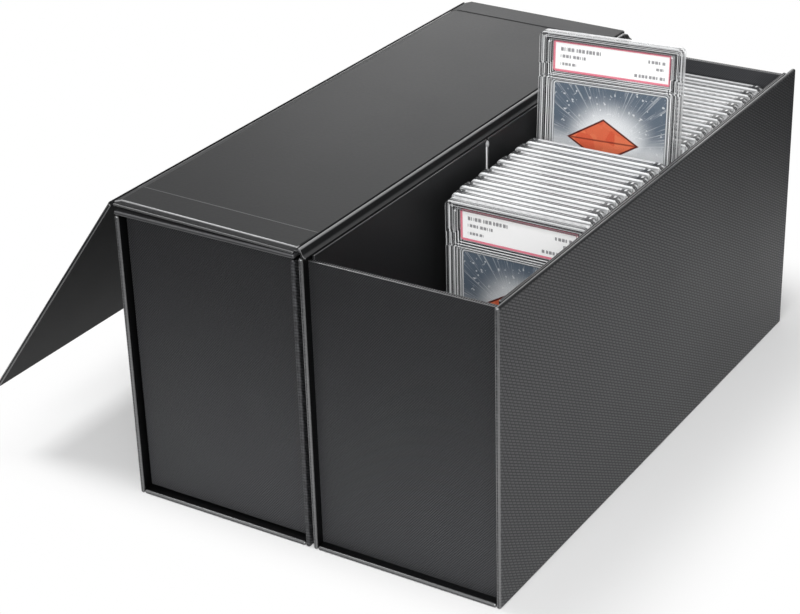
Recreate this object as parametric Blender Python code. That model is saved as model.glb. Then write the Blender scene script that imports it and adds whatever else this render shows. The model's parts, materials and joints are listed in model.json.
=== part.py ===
"""Graded card storage case: two board trays, a book cover with a flap, and card slabs.

Metres, +Z up. The origin is the middle of the right tray's underside, +Y runs
along the trays away from the near end, and the cover is turned over on the left tray.
"""

import math

import bmesh
import bpy
from mathutils import Matrix, Vector

# Trays
TRAY_LENGTH = 0.320
TRAY_GAP = 0.002
LEFT_TRAY_DROP = 0.0013
BOARD = 0.0023
END_RECESS = 0.0046
END_DROP = 0.0025
SIDE_LINER = 0.0015
SIDE_LINER_DROP = 0.0004
LINER_JOINT = 0.0012
FLOOR_LINER = 0.0008
EDGE_ROUND = 0.0004

# Frame on the left tray's rim
RAIL_THICKNESS = 0.0022
SIDE_RAIL_WIDTH = 0.0060
END_RAIL_WIDTH = 0.0090
RAIL_ROUND = 0.0007

# Cover
LID_BOARD = 0.0030
LINING = 0.0006
LINING_MARGIN = 0.0010
LID_ROUND = 0.0009
LID_REST_TILT_DEG = 1.2
HINGE_SETBACK = 0.0013
FLAP_FOOT_GAP = 0.0064
FLAP_BOARD = 0.0015
FLAP_LINING = 0.0004
FLAP_ROUND = 0.0005
FLAP_SIDE_GAP = 0.00145
FLAP_SETBACK = 0.0010
FLAP_REST_DROP_DEG = 54.0
WEB = 0.0009

# Magnets
MAGNET_RADIUS = 0.0060
MAGNET_TIP_DISTANCE = 0.0145
MAGNET_END_DISTANCE = 0.0550
MAGNET_SIDES = 24

# Card slabs
SLAB_THICKNESS = 0.0064
SLAB_CORNER = 0.0040
SLAB_RIM = 0.0030
SLAB_RIM_STEP = 0.0008
SLAB_SWAY = 0.0005
SLAB_SIDE_ROOM = 0.00815
SLAB_SIDE_SHIFT = 0.0024
SLAB_HEADROOM = 0.0098
CORNER_STEPS = 3
NEAR_SLABS = 10
FAR_SLABS = 10
NEAR_GROUP_START_SHARE = 0.325
GROUP_GAP = 0.0258
FAR_END_GAP = 0.0012
FAR_PITCH_SHARE = 1.066
CARD_WIDTH = 0.0635
CARD_HEIGHT = 0.0889
CARD_THICKNESS = 0.0004
CARD_FOOT = 0.0231
CARD_SIDE = 0.0060
LABEL_WIDTH = 0.0625
LABEL_HEIGHT = 0.0160
LABEL_THICKNESS = 0.0003
LABEL_TOP = 0.0046
LABEL_CARD_GAP = 0.0039
POCKET_DEPTH = 0.0010
RAISED_LIFT = 0.0505
RAISED_LEAN_DEG = 3.8
RAISED_YAW_DEG = 4.8
RAISED_SIDE_SHIFT = 0.0051

CLEARANCE = 0.0003
OVERRUN = 0.0010

# Sizes and places that follow from those above
SIDE_LINER_OUTER = BOARD + CLEARANCE
SIDE_LINER_INNER = SIDE_LINER_OUTER + SIDE_LINER
FLOOR_TOP = BOARD + CLEARANCE + FLOOR_LINER
SLAB_WIDTH = CARD_WIDTH + 2 * CARD_SIDE
SLAB_HEIGHT = CARD_FOOT + CARD_HEIGHT + LABEL_CARD_GAP + LABEL_HEIGHT + LABEL_TOP
TRAY_WIDTH = SLAB_WIDTH + 2 * (SLAB_SIDE_ROOM + SIDE_LINER_INNER)
TRAY_HEIGHT = FLOOR_TOP + CLEARANCE + SLAB_HEIGHT + SLAB_HEADROOM
RIGHT_CENTRE = 0.0
LEFT_CENTRE = RIGHT_CENTRE - TRAY_WIDTH - TRAY_GAP
NEAR = -TRAY_LENGTH / 2
FAR = TRAY_LENGTH / 2
END_OUTER = END_RECESS
END_INNER = END_RECESS + BOARD
LEFT_HEIGHT = TRAY_HEIGHT - LEFT_TRAY_DROP
RAIL_BOTTOM = LEFT_HEIGHT + CLEARANCE
RAIL_TOP = RAIL_BOTTOM + RAIL_THICKNESS
LID_THICKNESS = LID_BOARD + CLEARANCE + LINING
LID_BOTTOM = RAIL_TOP + CLEARANCE
LID_TOP = LID_BOTTOM + LID_THICKNESS
HINGE_X = RIGHT_CENTRE - TRAY_WIDTH / 2 - TRAY_GAP / 2
HINGE_Z = (TRAY_HEIGHT + CLEARANCE + LID_TOP) / 2
LID_HINGE_EDGE = HINGE_X - HINGE_SETBACK
LID_FREE_EDGE = LEFT_CENTRE - TRAY_WIDTH / 2
FLAP_THICKNESS = FLAP_BOARD + CLEARANCE + FLAP_LINING
FLAP_X = LID_FREE_EDGE - FLAP_SIDE_GAP
FLAP_Z = LID_BOTTOM + FLAP_THICKNESS / 2
CLOSED_FLAP_Z = 2 * HINGE_Z - FLAP_Z
FLAP_LENGTH = CLOSED_FLAP_Z - FLAP_SETBACK - FLAP_FOOT_GAP
MAGNET_REACH = FLAP_LENGTH + FLAP_SETBACK - MAGNET_TIP_DISTANCE
WALL_MAGNET_Z = FLAP_FOOT_GAP + MAGNET_TIP_DISTANCE
NEAR_GROUP_START = TRAY_LENGTH * NEAR_GROUP_START_SHARE
FAR_GROUP_END = TRAY_LENGTH - END_INNER - FAR_END_GAP
GROUPS_RUN = FAR_GROUP_END - NEAR_GROUP_START - GROUP_GAP - 2 * SLAB_THICKNESS
NEAR_PITCH = GROUPS_RUN / (NEAR_SLABS - 1 + (FAR_SLABS - 1) * FAR_PITCH_SHARE)
FAR_PITCH = NEAR_PITCH * FAR_PITCH_SHARE
FAR_GROUP_START = FAR_GROUP_END - SLAB_THICKNESS - (FAR_SLABS - 1) * FAR_PITCH


def clear_scene():
    for obj in list(bpy.data.objects):
        bpy.data.objects.remove(obj, do_unlink=True)


def material(name, colour, roughness, metallic=0.0, transmission=0.0):
    made = bpy.data.materials.new(name)
    made.use_nodes = True
    shader = made.node_tree.nodes["Principled BSDF"]
    shader.inputs["Base Color"].default_value = (*colour, 1.0)
    shader.inputs["Roughness"].default_value = roughness
    shader.inputs["Metallic"].default_value = metallic
    shader.inputs["Transmission Weight"].default_value = transmission
    made.diffuse_color = (*colour, 1.0)
    return made


def add_object(name, mesh_builder, finish, parent=None):
    """Makes one named object from a bmesh, which it frees."""
    mesh = bpy.data.meshes.new(name)
    bmesh.ops.recalc_face_normals(mesh_builder, faces=mesh_builder.faces)
    mesh_builder.to_mesh(mesh)
    mesh_builder.free()
    mesh.materials.append(finish)
    obj = bpy.data.objects.new(name, mesh)
    bpy.context.scene.collection.objects.link(obj)
    obj.parent = parent
    return obj


def add_empty(name, place, turn=None, parent=None):
    empty = bpy.data.objects.new(name, None)
    bpy.context.scene.collection.objects.link(empty)
    empty.parent = parent
    rotation = turn if turn else Matrix.Identity(4)
    empty.matrix_basis = Matrix.Translation(place) @ rotation
    return empty


def block_mesh(low, high):
    low = Vector(low)
    high = Vector(high)
    made = bmesh.new()
    bmesh.ops.create_cube(made, size=1.0)
    bmesh.ops.scale(made, vec=high - low, verts=made.verts)
    bmesh.ops.translate(made, vec=(low + high) / 2, verts=made.verts)
    return made


def soften(obj, width):
    """A small bevel on every edge, as wrapped board has."""
    bevel = obj.modifiers.new("edge_round", "BEVEL")
    bevel.width = width
    bevel.segments = 1
    bevel.limit_method = "ANGLE"
    return obj


def board(name, low, high, finish, width=EDGE_ROUND, parent=None):
    """A flat board between two corners, with softened edges."""
    made = add_object(name, block_mesh(low, high), finish, parent)
    thinnest = min(abs(b - a) for a, b in zip(low, high))
    return soften(made, min(width, thinnest / 3))


def cut(target, cutter):
    """Cuts one closed helper out of an object."""
    cutter.hide_render = True
    cutter.display_type = "WIRE"
    modifier = target.modifiers.new(cutter.name, "BOOLEAN")
    modifier.operation = "DIFFERENCE"
    modifier.object = cutter
    modifier.solver = "EXACT"


def disc_mesh(radius, thickness, axis_turn, centre):
    made = bmesh.new()
    bmesh.ops.create_cone(
        made,
        cap_ends=True,
        segments=MAGNET_SIDES,
        radius1=radius,
        radius2=radius,
        depth=thickness,
    )
    bmesh.ops.rotate(made, verts=made.verts, matrix=axis_turn)
    bmesh.ops.translate(made, vec=centre, verts=made.verts)
    return made


def magnet_places():
    """The places along Y of the magnets, near one first."""
    return (
        ("near", NEAR + MAGNET_END_DISTANCE),
        ("far", FAR - MAGNET_END_DISTANCE),
    )


def tray_shell(side, centre, height, end_top, finish, lining):
    """Base, two long walls, two recessed end panels and the floor liner of one tray."""
    left = centre - TRAY_WIDTH / 2
    right = centre + TRAY_WIDTH / 2
    inner_left = left + BOARD + CLEARANCE
    inner_right = right - BOARD - CLEARANCE
    wall_names = {"right": ("hinge_wall", "outer_wall"), "left": ("outer_wall", "inner_wall")}
    first, second = wall_names[side]
    board(f"{side}_base_board", (inner_left, NEAR, 0), (inner_right, FAR, BOARD), finish)
    board(f"{side}_{first}", (left, NEAR, 0), (left + BOARD, FAR, height), finish)
    outer = board(f"{side}_{second}", (right - BOARD, NEAR, 0), (right, FAR, height), finish)
    end_bottom = BOARD + CLEARANCE
    board(
        f"{side}_near_end_panel",
        (inner_left, NEAR + END_OUTER, end_bottom),
        (inner_right, NEAR + END_INNER, end_top),
        finish,
    )
    board(
        f"{side}_far_end_panel",
        (inner_left, FAR - END_INNER, end_bottom),
        (inner_right, FAR - END_OUTER, end_top),
        finish,
    )
    board(
        f"{side}_floor_liner",
        (inner_left, NEAR + END_INNER + CLEARANCE, end_bottom),
        (inner_right, FAR - END_INNER - CLEARANCE, FLOOR_TOP),
        lining,
    )
    return outer


def side_liner(name, centre, hand, start, end, top, lining):
    """One liner panel; hand is -1 on a tray's left wall and 1 on its right wall."""
    wall_face = centre + hand * TRAY_WIDTH / 2
    outer = wall_face - hand * SIDE_LINER_OUTER
    inner = wall_face - hand * SIDE_LINER_INNER
    low = (min(outer, inner), start, FLOOR_TOP + CLEARANCE)
    high = (max(outer, inner), end, top)
    board(name, low, high, lining)


def right_tray(finish, lining, metal):
    end_top = TRAY_HEIGHT - END_DROP
    outer_wall = tray_shell("right", RIGHT_CENTRE, TRAY_HEIGHT, end_top, finish, lining)
    top = TRAY_HEIGHT - SIDE_LINER_DROP
    inner_near = NEAR + END_INNER + CLEARANCE
    inner_far = FAR - END_INNER - CLEARANCE
    for wall, hand in (("hinge", -1), ("outer", 1)):
        near_name = f"right_{wall}_liner_near"
        far_name = f"right_{wall}_liner_far"
        side_liner(near_name, RIGHT_CENTRE, hand, inner_near, -LINER_JOINT / 2, top, lining)
        side_liner(far_name, RIGHT_CENTRE, hand, LINER_JOINT / 2, inner_far, top, lining)
    sideways = Matrix.Rotation(math.radians(90), 3, "Y")
    middle = RIGHT_CENTRE + TRAY_WIDTH / 2 - BOARD / 2
    for end, place in magnet_places():
        centre = (middle, place, WALL_MAGNET_Z)
        hole = disc_mesh(MAGNET_RADIUS + CLEARANCE, BOARD + OVERRUN, sideways, centre)
        cut(outer_wall, add_object(f"wall_magnet_hole_{end}", hole, metal))
        disc = disc_mesh(MAGNET_RADIUS, BOARD, sideways, centre)
        add_object(f"wall_magnet_{end}", disc, metal)


def left_tray(finish, lining):
    tray_shell("left", LEFT_CENTRE, LEFT_HEIGHT, LEFT_HEIGHT, finish, lining)
    top = LEFT_HEIGHT - SIDE_LINER_DROP
    inner_near = NEAR + END_INNER + CLEARANCE
    inner_far = FAR - END_INNER - CLEARANCE
    side_liner("left_outer_liner", LEFT_CENTRE, -1, inner_near, inner_far, top, lining)
    side_liner("left_inner_liner", LEFT_CENTRE, 1, inner_near, inner_far, top, lining)
    rim_rails(finish)


def rim_rails(finish):
    """Four thin rails that make a frame on the left tray's rim."""
    left = LEFT_CENTRE - TRAY_WIDTH / 2
    right = LEFT_CENTRE + TRAY_WIDTH / 2
    side_near = NEAR + END_RAIL_WIDTH + CLEARANCE
    side_far = FAR - END_RAIL_WIDTH - CLEARANCE
    places = {
        "near_rail": (left, right, NEAR, NEAR + END_RAIL_WIDTH),
        "far_rail": (left, right, FAR - END_RAIL_WIDTH, FAR),
        "outer_rail": (left, left + SIDE_RAIL_WIDTH, side_near, side_far),
        "inner_rail": (right - SIDE_RAIL_WIDTH, right, side_near, side_far),
    }
    for name, (x_low, x_high, y_low, y_high) in places.items():
        low = (x_low, y_low, RAIL_BOTTOM)
        high = (x_high, y_high, RAIL_TOP)
        board(f"left_{name}", low, high, finish, RAIL_ROUND)


def strip_mesh(profile):
    """A strip along the trays from a closed profile of (x, z) points."""
    made = bmesh.new()
    ring = [made.verts.new((x, NEAR, z)) for x, z in profile]
    face = made.faces.new(ring)
    side = bmesh.ops.extrude_face_region(made, geom=[face])
    moved = [item for item in side["geom"] if isinstance(item, bmesh.types.BMVert)]
    bmesh.ops.translate(made, vec=(0, TRAY_LENGTH, 0), verts=moved)
    return made


def tilted(x, z):
    """Where a point of the level lid comes to when its free edge rests a little higher."""
    tilt = math.radians(LID_REST_TILT_DEG)
    across = x - HINGE_X
    up = z - HINGE_Z
    turned_x = HINGE_X + across * math.cos(tilt) + up * math.sin(tilt)
    turned_z = HINGE_Z - across * math.sin(tilt) + up * math.cos(tilt)
    return turned_x, turned_z


def hinge_web(finish):
    """The flexible strip from the lid's edge, over the gap, to the hinge wall's rim."""
    low_x, low_z = tilted(LID_HINGE_EDGE + CLEARANCE, LID_BOTTOM + CLEARANCE)
    high_x, high_z = tilted(LID_HINGE_EDGE + CLEARANCE, LID_TOP)
    wall_outer = RIGHT_CENTRE - TRAY_WIDTH / 2
    rim_inner = wall_outer + SIDE_LINER_INNER
    shoulder = wall_outer + BOARD
    seat = TRAY_HEIGHT + CLEARANCE
    top = LID_TOP
    profile = (
        (low_x, low_z),
        (HINGE_X, seat + WEB / 2),
        (wall_outer, seat),
        (rim_inner, seat),
        (rim_inner - WEB / 2, seat + WEB),
        (shoulder + WEB / 2, top - 2 * WEB),
        (shoulder, top - WEB / 2),
        (shoulder - WEB, top),
        (high_x, high_z),
    )
    add_object("hinge_web", strip_mesh(profile), finish)


def lid(finish, lining):
    """The lid as it lies turned over: its board below and its lining above."""
    tilt = Matrix.Rotation(math.radians(LID_REST_TILT_DEG), 4, "Y")
    hinge = add_empty("lid_hinge_axis", (HINGE_X, 0, HINGE_Z), tilt)
    left = LID_FREE_EDGE - HINGE_X
    right = LID_HINGE_EDGE - HINGE_X
    bottom = LID_BOTTOM - HINGE_Z
    middle = bottom + LID_BOARD
    top = LID_TOP - HINGE_Z
    board("lid_board", (left, NEAR, bottom), (right, FAR, middle), finish, LID_ROUND, hinge)
    board(
        "lid_lining",
        (left + LINING_MARGIN, NEAR + LINING_MARGIN, middle + CLEARANCE),
        (right - CLEARANCE, FAR - LINING_MARGIN, top),
        lining,
        LID_ROUND,
        hinge,
    )
    return hinge


def flap_point(along, across):
    """A point of the hanging flap, on a level lid: along from its axis, across to its lining."""
    drop = math.radians(FLAP_REST_DROP_DEG + LID_REST_TILT_DEG)
    x = FLAP_X - along * math.cos(drop) - across * math.sin(drop)
    z = FLAP_Z - along * math.sin(drop) + across * math.cos(drop)
    return x, z


def flap_web(finish, hinge):
    """The flexible strip between the lid's free edge and the flap."""
    lid_side = LID_FREE_EDGE - CLEARANCE
    half = FLAP_THICKNESS / 2
    end = FLAP_SETBACK - CLEARANCE
    profile = (
        (lid_side, LID_BOTTOM + CLEARANCE),
        (lid_side, LID_BOTTOM + FLAP_THICKNESS),
        flap_point(0, half),
        flap_point(end, half - CLEARANCE),
        flap_point(end, CLEARANCE - half),
    )
    made = strip_mesh(profile)
    bmesh.ops.translate(made, vec=(-HINGE_X, 0, -HINGE_Z), verts=made.verts)
    add_object("flap_web", made, finish, hinge)


def flap(finish, lining, metal, hinge):
    """The flap, modelled flat along -X from its axis and turned down about it."""
    drop = math.radians(FLAP_REST_DROP_DEG + LID_REST_TILT_DEG)
    turn = Matrix.Rotation(-drop, 4, "Y")
    place = (FLAP_X - HINGE_X, 0, FLAP_Z - HINGE_Z)
    axis = add_empty("flap_hinge_axis", place, turn, hinge)
    tip = -FLAP_SETBACK - FLAP_LENGTH
    outer = -FLAP_THICKNESS / 2
    middle = outer + FLAP_BOARD
    panel = board(
        "flap_board",
        (tip, NEAR, outer),
        (-FLAP_SETBACK, FAR, middle),
        finish,
        FLAP_ROUND,
        axis,
    )
    board(
        "flap_lining",
        (tip + LINING_MARGIN, NEAR + LINING_MARGIN, middle + CLEARANCE),
        (-FLAP_SETBACK, FAR - LINING_MARGIN, FLAP_THICKNESS / 2),
        lining,
        FLAP_ROUND,
        axis,
    )
    upright = Matrix.Identity(3)
    centre_z = (outer + middle) / 2
    for end, y in magnet_places():
        centre = (-MAGNET_REACH, y, centre_z)
        hole = disc_mesh(MAGNET_RADIUS + CLEARANCE, FLAP_BOARD + OVERRUN, upright, centre)
        cut(panel, add_object(f"flap_magnet_hole_{end}", hole, metal, axis))
        disc = disc_mesh(MAGNET_RADIUS, FLAP_BOARD, upright, centre)
        add_object(f"flap_magnet_{end}", disc, metal, axis)


def slab_outline(width, height, radius):
    """A rectangle with round corners in X and Z, standing on Z = 0."""
    points = []
    for corner in range(4):
        x_side = (1, -1, -1, 1)[corner]
        z_side = (1, 1, 0, 0)[corner]
        centre_x = x_side * (width / 2 - radius)
        centre_z = height - radius if z_side else radius
        for step in range(CORNER_STEPS + 1):
            angle = math.radians(90) * (corner + step / CORNER_STEPS)
            x = centre_x + radius * math.cos(angle)
            z = centre_z + radius * math.sin(angle)
            points.append((x, z))
    return points


def slab_mesh(front, back, front_rim=True, back_rim=True):
    """A round-cornered plate from Y = front to Y = back, with a raised rim on its faces."""
    made = bmesh.new()
    outline = slab_outline(SLAB_WIDTH, SLAB_HEIGHT, SLAB_CORNER)
    ring = [made.verts.new((x, front, z)) for x, z in outline]
    face = made.faces.new(ring)
    grown = bmesh.ops.extrude_face_region(made, geom=[face])
    moved = [item for item in grown["geom"] if isinstance(item, bmesh.types.BMVert)]
    bmesh.ops.translate(made, vec=(0, back - front, 0), verts=moved)
    bmesh.ops.recalc_face_normals(made, faces=made.faces)
    wide = sorted(made.faces, key=lambda one: one.calc_area())[-2:]
    for one in wide:
        is_front = one.normal.y < 0
        if front_rim if is_front else back_rim:
            bmesh.ops.inset_region(made, faces=[one], thickness=SLAB_RIM)
            inward = Vector((0, SLAB_RIM_STEP if is_front else -SLAB_RIM_STEP, 0))
            bmesh.ops.translate(made, vec=inward, verts=one.verts)
    return made


def centred_block(width, bottom, height, front, back):
    return block_mesh((-width / 2, front, bottom), (width / 2, back, bottom + height))


def plain_slab(name, place, clear):
    made = add_object(name, slab_mesh(-SLAB_THICKNESS / 2, SLAB_THICKNESS / 2), clear)
    made.location = place
    return made


def detailed_slab(name, holder, clear, label_paper, card_paper):
    """Two welded shells with a label and a card in pockets of the back shell."""
    half = SLAB_THICKNESS / 2
    joint = CLEARANCE / 2
    add_object(f"{name}_front_shell", slab_mesh(-half, -joint, back_rim=False), clear, holder)
    back = add_object(f"{name}_back_shell", slab_mesh(joint, half, front_rim=False), clear, holder)
    label_bottom = SLAB_HEIGHT - LABEL_TOP - LABEL_HEIGHT
    contents = (
        ("label", LABEL_WIDTH, label_bottom, LABEL_HEIGHT, LABEL_THICKNESS, label_paper),
        ("card", CARD_WIDTH, CARD_FOOT, CARD_HEIGHT, CARD_THICKNESS, card_paper),
    )
    for kind, width, bottom, height, thickness, paper in contents:
        pocket = centred_block(
            width + 2 * CLEARANCE,
            bottom - CLEARANCE,
            height + 2 * CLEARANCE,
            -joint,
            joint + POCKET_DEPTH,
        )
        cut(back, add_object(f"{name}_{kind}_pocket", pocket, clear, holder))
        behind = joint + POCKET_DEPTH - CLEARANCE
        piece = centred_block(width, bottom, height, behind - thickness, behind)
        add_object(f"{name}_{kind}", piece, paper, holder)


def slab_place(index):
    """Slabs stand nearer the hinge wall, a little to one side and the other by turns."""
    return (SLAB_SWAY if index % 2 else -SLAB_SWAY) - SLAB_SIDE_SHIFT


def seated_slabs(clear, label_paper, card_paper):
    seat = FLOOR_TOP + CLEARANCE
    half = SLAB_THICKNESS / 2
    front = add_empty("front_slab_place", (-SLAB_SIDE_SHIFT, NEAR + NEAR_GROUP_START + half, seat))
    detailed_slab("front_slab", front, clear, label_paper, card_paper)
    for index in range(1, NEAR_SLABS):
        y = NEAR + NEAR_GROUP_START + half + index * NEAR_PITCH
        plain_slab(f"near_slab_{index + 1:02d}", (slab_place(index), y, seat), clear)
    for index in range(FAR_SLABS):
        y = NEAR + FAR_GROUP_START + half + index * FAR_PITCH
        plain_slab(f"far_slab_{index + 1:02d}", (slab_place(index), y, seat), clear)


def raised_slab(clear, label_paper, card_paper):
    """One slab drawn up, leaning back on the far group's first slab."""
    lean = Matrix.Rotation(-math.radians(RAISED_LEAN_DEG), 4, "X")
    yaw = Matrix.Rotation(math.radians(RAISED_YAW_DEG), 4, "Z")
    turn = yaw @ lean
    up = turn.to_3x3() @ Vector((0, 0, 1))
    back = turn.to_3x3() @ Vector((0, 1, 0))
    across = turn.to_3x3() @ Vector((1, 0, 0))
    seat = FLOOR_TOP + CLEARANCE
    rest = Vector((slab_place(0) + SLAB_WIDTH / 2, NEAR + FAR_GROUP_START, seat + SLAB_HEIGHT))
    lift = Vector((-RAISED_SIDE_SHIFT, 0, seat)) + up * RAISED_LIFT
    corner = lift + back * (SLAB_THICKNESS / 2) + across * (SLAB_WIDTH / 2)
    reach = (rest.z - corner.z) / up.z
    contact = corner + up * reach
    shift = rest.y - CLEARANCE - contact.y
    holder = add_empty("raised_slab_axis", lift + Vector((0, shift, 0)), turn)
    detailed_slab("raised_slab", holder, clear, label_paper, card_paper)


def build():
    clear_scene()
    wrap = material("black_leatherette", (0.030, 0.031, 0.031), 0.42)
    lining = material("black_lining", (0.040, 0.041, 0.042), 0.50)
    metal = material("magnet_metal", (0.55, 0.55, 0.56), 0.35, metallic=1.0)
    clear = material("clear_plastic", (0.90, 0.92, 0.93), 0.08, transmission=0.9)
    label_paper = material("label_paper", (0.85, 0.83, 0.83), 0.55)
    card_paper = material("card_paper", (0.30, 0.36, 0.43), 0.45)
    right_tray(wrap, lining, metal)
    left_tray(wrap, lining)
    hinge_web(wrap)
    hinge = lid(wrap, lining)
    flap_web(wrap, hinge)
    flap(wrap, lining, metal, hinge)
    seated_slabs(clear, label_paper, card_paper)
    raised_slab(clear, label_paper, card_paper)


build()
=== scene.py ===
"""Graded card storage case: finished boards, cover, card slabs and a plain pale studio.

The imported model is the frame. Every piece is made in its place, in metres, +Z up,
and stands for the nodes it replaces.
"""

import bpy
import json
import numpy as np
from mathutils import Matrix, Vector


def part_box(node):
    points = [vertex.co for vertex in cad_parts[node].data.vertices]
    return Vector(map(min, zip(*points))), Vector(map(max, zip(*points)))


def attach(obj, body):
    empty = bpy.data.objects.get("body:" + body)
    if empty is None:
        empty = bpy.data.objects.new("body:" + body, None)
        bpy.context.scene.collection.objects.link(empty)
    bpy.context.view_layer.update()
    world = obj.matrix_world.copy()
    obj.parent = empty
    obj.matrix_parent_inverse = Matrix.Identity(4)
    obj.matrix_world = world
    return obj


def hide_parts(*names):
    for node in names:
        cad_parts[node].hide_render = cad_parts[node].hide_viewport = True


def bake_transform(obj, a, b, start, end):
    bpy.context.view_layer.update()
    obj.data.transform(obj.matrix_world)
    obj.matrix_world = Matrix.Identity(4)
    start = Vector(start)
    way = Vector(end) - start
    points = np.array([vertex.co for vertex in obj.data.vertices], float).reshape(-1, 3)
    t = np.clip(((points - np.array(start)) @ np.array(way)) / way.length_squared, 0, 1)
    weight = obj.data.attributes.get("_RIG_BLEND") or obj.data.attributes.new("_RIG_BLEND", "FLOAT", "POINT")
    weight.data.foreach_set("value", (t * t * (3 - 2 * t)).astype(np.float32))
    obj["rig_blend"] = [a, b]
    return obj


bl_info = {
    "name": "Card Storage Case",
    "version": (1, 0, 0),
    "blender": (4, 5, 0),
    "location": "3D View > Sidebar > Card Case",
    "description": "Dresses the packed card storage case with its finished pieces",
    "category": "Object",
}

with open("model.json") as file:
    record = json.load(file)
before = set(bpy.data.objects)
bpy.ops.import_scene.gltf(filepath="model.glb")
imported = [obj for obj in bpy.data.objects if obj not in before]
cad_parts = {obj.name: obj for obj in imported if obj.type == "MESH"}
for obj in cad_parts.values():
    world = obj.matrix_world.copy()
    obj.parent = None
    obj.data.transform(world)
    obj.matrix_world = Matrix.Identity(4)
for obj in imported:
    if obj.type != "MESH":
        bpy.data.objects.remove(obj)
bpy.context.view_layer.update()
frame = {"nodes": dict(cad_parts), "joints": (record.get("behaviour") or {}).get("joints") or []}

import json
import math

import bmesh
import bpy
from mathutils import Matrix, Vector

MM = 0.001
JOINTS = {joint["name"]: joint for joint in frame["joints"]}
HINGE = Vector(JOINTS["lid_hinge"]["pos_m"])
FLAP_AXIS = Vector(JOINTS["flap_hinge"]["pos_m"])
LIFT_AXIS = Vector(JOINTS["slab_slide"]["axis"])
LID_TILT = math.radians(180 - JOINTS["lid_hinge"]["range_deg"][1])
FLAP_DROP = math.radians(JOINTS["flap_hinge"]["range_deg"][1] - 90) - LID_TILT


# Sizes and colours

def length(name, description, default):
    return bpy.props.FloatProperty(
        name=name, description=description, default=default, unit="LENGTH", precision=5
    )


def share(name, description, default):
    return bpy.props.FloatProperty(
        name=name, description=description, default=default, min=0.0, max=1.0, subtype="FACTOR"
    )


def power(name, description, default):
    return bpy.props.FloatProperty(name=name, description=description, default=default, unit="POWER")


def colour(name, description, default):
    return bpy.props.FloatVectorProperty(
        name=name, description=description, default=default, size=3, min=0.0, max=1.0, subtype="COLOR"
    )


class BoardSettings(bpy.types.PropertyGroup):
    """Wrapped boards of the two trays."""

    wall_round: length("Wall Rounding", "Radius of a wrapped wall's edges", 0.00110)
    panel_round: length("Panel Rounding", "Radius of an end panel's edges", 0.0007)
    liner_round: length("Liner Rounding", "Radius of a liner panel's edges", 0.0005)
    rail_round: length("Rail Rounding", "Radius of a rim rail's edges", 0.0009)
    wall_pitch: length("Wall Grain Pitch", "Distance between rows of grain on a long wall", 0.00131)
    wall_dash: length("Wall Grain Dash", "Length of a dash in a row on a long wall", 0.0040)
    panel_pitch: length("Panel Grain Pitch", "Distance between rows of grain on an end panel", 0.00090)
    panel_dash: length("Panel Grain Dash", "Length of a dash in a row on an end panel", 0.0060)
    leatherette: colour("Leatherette", "Black wrap of the boards", (0.0040, 0.0042, 0.0043))
    grain_tone: colour("Grain Tone", "Raised grain of the wrap", (0.0555, 0.0562, 0.0600))
    # Painted highlight: the pale colour laid along the wrap's rounded edges.
    edge_highlight_paint: colour("Rubbed Edge", "Wrap where an edge is rubbed", (0.085, 0.086, 0.087))
    # Painted shade: the dark colour laid, smooth, on faces that look into a tray and on rims.
    painted_shade: colour("Recess", "Smooth dark wrap inside a recess", (0.0012, 0.0012, 0.0013))
    # Painted light: the paler colour laid on an end panel's inner face, standing in for the light it catches.
    painted_inner_light: colour("Panel Lining", "Smooth inner face of an end panel", (0.044, 0.045, 0.048))
    panel_groove: length("Panel Groove", "Width of the groove round a left end panel", 0.0007)
    panel_corner: length("Panel Corner", "Radius of an end panel's corners", 0.0018)
    lining: colour("Lining", "Smooth lining inside the trays", (0.0080, 0.0082, 0.0085))


class CoverSettings(bpy.types.PropertyGroup):
    """The cover: lid, hinge web and flap."""

    lid_round: length("Lid Rounding", "Radius of the lid's edges", 0.0011)
    flap_round: length("Flap Rounding", "Radius of the flap's edges", 0.0008)
    lining_thickness: length("Lining Thickness", "How deep the lining's layer is at the lid's edges", 0.0026)
    lining_reach: length("Lining Reach", "How far the lining reaches over the hinge web", 0.0023)
    lining_slope: length("Lining Slope", "Width of the lining's slope down to the flap", 0.0050)
    lining_inset: length("Lining Inset", "From the lid's ends to the lining's ends", 0.0005)
    seam_distance: length("Seam Distance", "From a lid end to the ridge of the turned-in wrap", 0.018)
    seam_depth: length("Seam Depth", "How far the middle of the lining lies below its ends", 0.0003)
    wrap: colour("Cover Wrap", "Outer wrap of the lid and flap", (0.0054, 0.0056, 0.0058))
    lining: colour("Cover Lining", "Inner face of the lid and flap", (0.0058, 0.0060, 0.0062))
    # Painted highlight: the pale colour laid along the cover's rounded edges and the web's crest.
    edge_highlight_tone: colour("Crease", "Wrap where it is creased or stretched over an edge", (0.22, 0.22, 0.225))


class SlabSettings(bpy.types.PropertyGroup):
    """Card slabs with their label and card."""

    corner: length("Corner Radius", "Radius of a slab's corners", 0.003)
    rim: length("Rim Rounding", "Radius of the rim of a slab's faces", 0.0011)
    plastic: colour("Plastic", "Clear plastic where it catches light", (0.93, 0.94, 0.95))
    plastic_shade: colour("Plastic Shade", "Clear plastic between its bright edges", (0.05, 0.052, 0.055))
    # Painted glow: the plastic's bright lines give out light though they are no lamp.
    painted_glow_strength: share("Light Piped", "How much light the plastic's moulded edges give back", 0.18)
    clearness: share("Clearness", "How much one face of a shell lets through", 0.94)
    label_paper: colour("Label Paper", "White of the label", (0.97, 0.97, 0.97))
    label_border: colour("Label Border", "Border of the label", (0.72, 0.16, 0.23))
    card_sky: colour("Card Sky", "Dark upper part of the card", (0.110, 0.145, 0.190))
    card_glow: colour("Card Glow", "Pale glow of the card", (0.86, 0.88, 0.90))
    card_margin: colour("Card Margin", "Plain margin round the card's picture", (0.19, 0.20, 0.21))
    card_shape: colour("Card Shape", "Main shape on the card", (0.70, 0.075, 0.035))


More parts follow.
